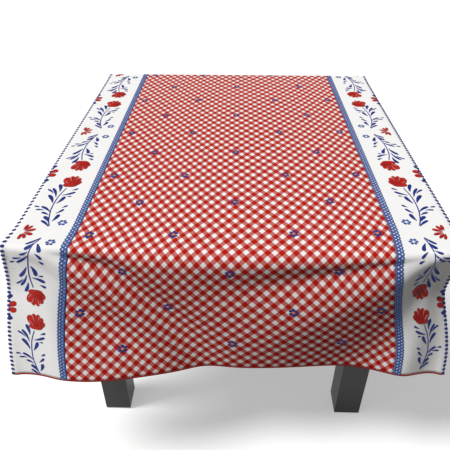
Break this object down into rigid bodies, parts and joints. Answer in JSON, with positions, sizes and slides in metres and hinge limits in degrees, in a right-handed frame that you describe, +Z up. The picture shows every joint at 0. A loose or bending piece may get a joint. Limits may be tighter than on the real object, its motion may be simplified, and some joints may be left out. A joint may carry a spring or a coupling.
{
  "type": "table with draped tablecloth",
  "caption": "Square-legged dining table under a removable red gingham tablecloth with lace bands and flowered borders.",
  "frame": {"origin": "on the floor under the middle of the table", "axes": "+X across the table to the right, +Y along it from the near end to the far end, +Z up"},
  "size_m": [1.08, 1.3588, 0.7523],
  "materials": {
    "black_lacquered_wood": "satin black lacquer over wood",
    "frame_wood": "matt dark stain",
    "zinc_steel": "bright zinc plating",
    "glide_plastic": "matt black plastic",
    "gingham_cotton": "plain weave cotton, red and white gingham check on the bias",
    "white_cotton": "plain weave white cotton with red and blue flower motifs",
    "blue_lace": "blue cotton lace with scalloped edges and white eyelets",
    "blue_thread": "blue picot stitches on white",
    "red_binding": "narrow red cotton binding"
  },
  "bodies": {
    "table": {"table_top": "black_lacquered_wood", "leg_front_left": "black_lacquered_wood", "leg_front_right": "black_lacquered_wood", "leg_back_left": "black_lacquered_wood", "leg_back_right": "black_lacquered_wood", "side_apron_left": "frame_wood", "side_apron_right": "frame_wood", "end_apron_front": "frame_wood", "end_apron_back": "frame_wood", "centre_rail": "frame_wood", "corner_bracket_front_left": "zinc_steel", "corner_bracket_front_right": "zinc_steel", "corner_bracket_back_left": "zinc_steel", "corner_bracket_back_right": "zinc_steel", "hanger_bolt_front_left": "zinc_steel", "hanger_bolt_front_right": "zinc_steel", "hanger_bolt_back_left": "zinc_steel", "hanger_bolt_back_right": "zinc_steel", "bolt_washer_front_left": "zinc_steel", "bolt_washer_front_right": "zinc_steel", "bolt_washer_back_left": "zinc_steel", "bolt_washer_back_right": "zinc_steel", "bolt_nut_front_left": "zinc_steel", "bolt_nut_front_right": "zinc_steel", "bolt_nut_back_left": "zinc_steel", "bolt_nut_back_right": "zinc_steel", "bracket_screw_side_front_left": "zinc_steel", "bracket_screw_end_front_left": "zinc_steel", "bracket_screw_side_front_right": "zinc_steel", "bracket_screw_end_front_right": "zinc_steel", "bracket_screw_side_back_left": "zinc_steel", "bracket_screw_end_back_left": "zinc_steel", "bracket_screw_side_back_right": "zinc_steel", "bracket_screw_end_back_right": "zinc_steel", "top_clip_left_front": "zinc_steel", "top_clip_left_back": "zinc_steel", "top_clip_right_front": "zinc_steel", "top_clip_right_back": "zinc_steel", "top_clip_front": "zinc_steel", "top_clip_back": "zinc_steel", "clip_screw_left_front": "zinc_steel", "clip_screw_left_back": "zinc_steel", "clip_screw_right_front": "zinc_steel", "clip_screw_right_back": "zinc_steel", "clip_screw_front": "zinc_steel", "clip_screw_back": "zinc_steel", "foot_glide_front_left": "glide_plastic", "foot_glide_front_right": "glide_plastic", "foot_glide_back_left": "glide_plastic", "foot_glide_back_right": "glide_plastic"},
    "tablecloth": {"gingham_panel": "gingham_cotton", "border_panel_left": "white_cotton", "border_panel_right": "white_cotton", "lace_band_left": "blue_lace", "lace_band_right": "blue_lace", "picot_edging_left": "blue_thread", "picot_edging_right": "blue_thread", "hem_binding_front": "red_binding", "hem_binding_back": "red_binding"}
  },
  "joints": [
    {"name": "cloth_lift", "type": "slide", "parent": "table", "child": "tablecloth", "axis": [0, 0, 1], "range_m": [0, 0.45]}
  ]
}
